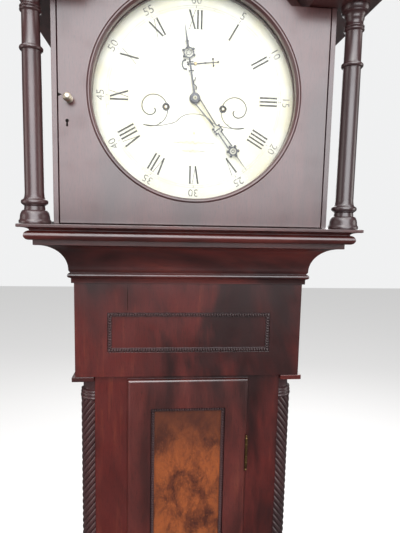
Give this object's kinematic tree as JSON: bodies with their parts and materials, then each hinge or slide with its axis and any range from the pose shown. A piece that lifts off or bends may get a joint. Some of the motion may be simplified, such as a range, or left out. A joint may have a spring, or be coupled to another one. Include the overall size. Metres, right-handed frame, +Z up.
{
  "type": "longcase clock",
  "caption": "Mahogany longcase clock: arched sliding hood with a glazed round-dial door and free columns, trunk with panelled door, weights, pendulum and striking movement.",
  "frame": {"origin": "on the floor, under the middle of the clock's overall box", "axes": "+Z up, the dial and doors face -Y, +X to the viewer's right, back against the wall at +Y"},
  "size_m": [0.58, 0.302, 2.2203],
  "materials": {
    "mahogany": "french polished",
    "flame_veneer": "french polished",
    "deal": "sawn",
    "brass": "lacquered",
    "steel": "polished",
    "blued_steel": "blued",
    "iron": "cast",
    "glass": "clear",
    "dial_silver": "silvered",
    "gut": "twisted gut",
    "bell_metal": "turned"
  },
  "bodies": {
    "case": {"backboard": "deal", "plinth_box": "mahogany", "plinth_skirting": "mahogany", "waist_moulding": "mahogany", "trunk_front": "mahogany", "trunk_side_left": "mahogany", "trunk_side_right": "mahogany", "quarter_column_left": "mahogany", "quarter_column_right": "mahogany", "frieze_and_throat": "mahogany", "frieze_bead": "mahogany", "seatboard": "deal", "front_plate": "brass", "back_plate": "brass", "bell": "bell_metal", "dial": "dial_silver", "going_line": "gut", "strike_line": "gut"},
    "hood": {"hood_base_moulding": "mahogany", "hood_shell": "mahogany", "hood_mask": "mahogany", "hood_pediment": "mahogany", "hood_finial": "brass", "hood_column_left": "mahogany", "hood_column_right": "mahogany"},
    "hood_door_leaf": {"hood_door": "mahogany", "hood_door_glass": "glass", "hood_door_knob": "brass", "hood_door_lock": "brass"},
    "trunk_door": {"trunk_door_frame": "mahogany", "trunk_door_panel": "flame_veneer", "trunk_door_bead": "mahogany", "trunk_door_lock": "brass", "trunk_door_hinge_upper": "brass", "trunk_door_hinge_lower": "brass"},
    "centre_arbor": {"centre_wheel": "brass", "minute_hand": "blued_steel"},
    "hour_pipe": {"hour_wheel": "brass", "hour_hand": "blued_steel"},
    "minute_wheel_body": {"minute_wheel": "brass"},
    "third_arbor": {"third_wheel": "brass"},
    "escape_arbor": {"escape_wheel": "brass", "seconds_hand": "blued_steel"},
    "going_great": {"going_great_wheel": "brass"},
    "going_barrel_body": {"going_barrel": "brass"},
    "strike_great": {"strike_great_wheel": "brass"},
    "strike_barrel_body": {"strike_barrel": "brass"},
    "pin_arbor": {"pin_wheel": "brass"},
    "gathering_arbor": {"gathering_wheel": "brass"},
    "fly_arbor": {"fly": "brass"},
    "hammer_arbor": {"hammer": "steel"},
    "rack_body": {"rack": "steel"},
    "anchor_arbor": {"anchor": "steel"},
    "pendulum": {"pendulum_rod": "steel", "pendulum_bob": "brass"},
    "going_weight_body": {"going_weight": "iron"},
    "going_pulley_body": {"going_pulley": "brass"},
    "strike_weight_body": {"strike_weight": "iron"},
    "strike_pulley_body": {"strike_pulley": "brass"}
  },
  "joints": [
    {"name": "hood_slide", "type": "slide", "parent": "case", "child": "hood", "axis": [0, -1, 0], "range_m": [0, 0.2]},
    {"name": "hood_door_hinge", "type": "hinge", "parent": "hood", "child": "hood_door_leaf", "pos_m": [0.2091, -0.086, 1.6], "axis": [0, 0, 1], "range_deg": [0, 105]},
    {"name": "trunk_door_hinge", "type": "hinge", "parent": "case", "child": "trunk_door", "pos_m": [0.109, -0.043, 0.58], "axis": [0, 0, 1], "range_deg": [0, 150]},
    {"name": "escape_spin", "type": "hinge", "parent": "case", "child": "escape_arbor", "pos_m": [0, 0.0105, 1.8602], "axis": [0, 1, 0], "continuous": true},
    {"name": "third_spin", "type": "hinge", "parent": "case", "child": "third_arbor", "pos_m": [0.01172, 0.0105, 1.8361], "axis": [0, 1, 0], "continuous": true},
    {"name": "minute_hand_turn", "type": "hinge", "parent": "case", "child": "centre_arbor", "pos_m": [0, 0.0105, 1.806], "axis": [0, 1, 0], "continuous": true},
    {"name": "minute_wheel_spin", "type": "hinge", "parent": "case", "child": "minute_wheel_body", "pos_m": [0.01909, 0.0105, 1.78691], "axis": [0, 1, 0], "continuous": true},
    {"name": "hour_hand_turn", "type": "hinge", "parent": "case", "child": "hour_pipe", "pos_m": [0, 0.0105, 1.806], "axis": [0, 1, 0], "continuous": true},
    {"name": "going_great_turn", "type": "hinge", "parent": "case", "child": "going_great", "pos_m": [0.0465, 0.0105, 1.7914], "axis": [0, 1, 0], "continuous": true},
    {"name": "fly_spin", "type": "hinge", "parent": "case", "child": "fly_arbor", "pos_m": [-0.024, 0.0105, 1.874], "axis": [0, 1, 0], "continuous": true},
    {"name": "gathering_spin", "type": "hinge", "parent": "case", "child": "gathering_arbor", "pos_m": [-0.038, 0.0105, 1.8614], "axis": [0, 1, 0], "continuous": true},
    {"name": "pin_wheel_spin", "type": "hinge", "parent": "case", "child": "pin_arbor", "pos_m": [-0.033, 0.0105, 1.833], "axis": [0, 1, 0], "continuous": true},
    {"name": "strike_great_turn", "type": "hinge", "parent": "case", "child": "strike_great", "pos_m": [-0.0465, 0.0105, 1.7914], "axis": [0, 1, 0], "continuous": true},
    {"name": "hammer_swing", "type": "hinge", "parent": "case", "child": "hammer_arbor", "pos_m": [-0.062, 0.0105, 1.846], "axis": [0, 1, 0], "range_deg": [-7, 1.5], "stiffness_Nm_per_rad": 0.1},
    {"name": "rack_fall", "type": "hinge", "parent": "case", "child": "rack_body", "pos_m": [-0.052, 0.0105, 1.748], "axis": [0, -1, 0], "range_deg": [0, 9]},
    {"name": "pendulum_swing", "type": "hinge", "parent": "case", "child": "pendulum", "pos_m": [0, 0.065, 1.894], "axis": [0, 1, 0], "range_deg": [-2.5, 2.5]},
    {"name": "anchor_rock", "type": "hinge", "parent": "case", "child": "anchor_arbor", "pos_m": [0, 0.0105, 1.894], "axis": [0, 1, 0], "range_deg": [-2.5, 2.5]},
    {"name": "going_weight_drop", "type": "slide", "parent": "case", "child": "going_weight_body", "axis": [0, 0, 1], "range_m": [0, 0.7], "deforming": ["going_line"]},
    {"name": "going_barrel_wind", "type": "hinge", "parent": "case", "child": "going_barrel_body", "pos_m": [0.0465, 0.0105, 1.7914], "axis": [0, 1, 0], "range_deg": [0, 2964.9]},
    {"name": "going_pulley_roll", "type": "hinge", "parent": "going_weight_body", "child": "going_pulley_body", "pos_m": [0.0445, 0.0105, 0.835], "axis": [0, 1, 0], "range_deg": [0, 1602.9]},
    {"name": "strike_weight_drop", "type": "slide", "parent": "case", "child": "strike_weight_body", "axis": [0, 0, 1], "range_m": [0, 0.7], "deforming": ["strike_line"]},
    {"name": "strike_barrel_wind", "type": "hinge", "parent": "case", "child": "strike_barrel_body", "pos_m": [-0.0465, 0.0105, 1.7914], "axis": [0, 1, 0], "range_deg": [0, 2964.9]},
    {"name": "strike_pulley_roll", "type": "hinge", "parent": "strike_weight_body", "child": "strike_pulley_body", "pos_m": [-0.0485, 0.0105, 0.835], "axis": [0, 1, 0], "range_deg": [0, 1602.9]}
  ],
  "couplings": [
    {"joint": "third_spin", "follows": "escape_spin", "ratio": -0.125},
    {"joint": "minute_hand_turn", "follows": "escape_spin", "ratio": 0.016667},
    {"joint": "minute_wheel_spin", "follows": "escape_spin", "ratio": -0.016667},
    {"joint": "hour_hand_turn", "follows": "escape_spin", "ratio": 0.0013889},
    {"joint": "going_great_turn", "follows": "escape_spin", "ratio": -0.0013889},
    {"joint": "gathering_spin", "follows": "fly_spin", "ratio": -0.125},
    {"joint": "pin_wheel_spin", "follows": "fly_spin", "ratio": 0.015625},
    {"joint": "strike_great_turn", "follows": "fly_spin", "ratio": -0.0016026},
    {"joint": "anchor_rock", "follows": "pendulum_swing", "ratio": 1},
    {"joint": "going_barrel_wind", "follows": "going_weight_drop", "rad_per_m": 73.801},
    {"joint": "going_pulley_roll", "follows": "going_weight_drop", "rad_per_m": 39.841},
    {"joint": "strike_barrel_wind", "follows": "strike_weight_drop", "rad_per_m": 73.801},
    {"joint": "strike_pulley_roll", "follows": "strike_weight_drop", "rad_per_m": 39.841}
  ]
}
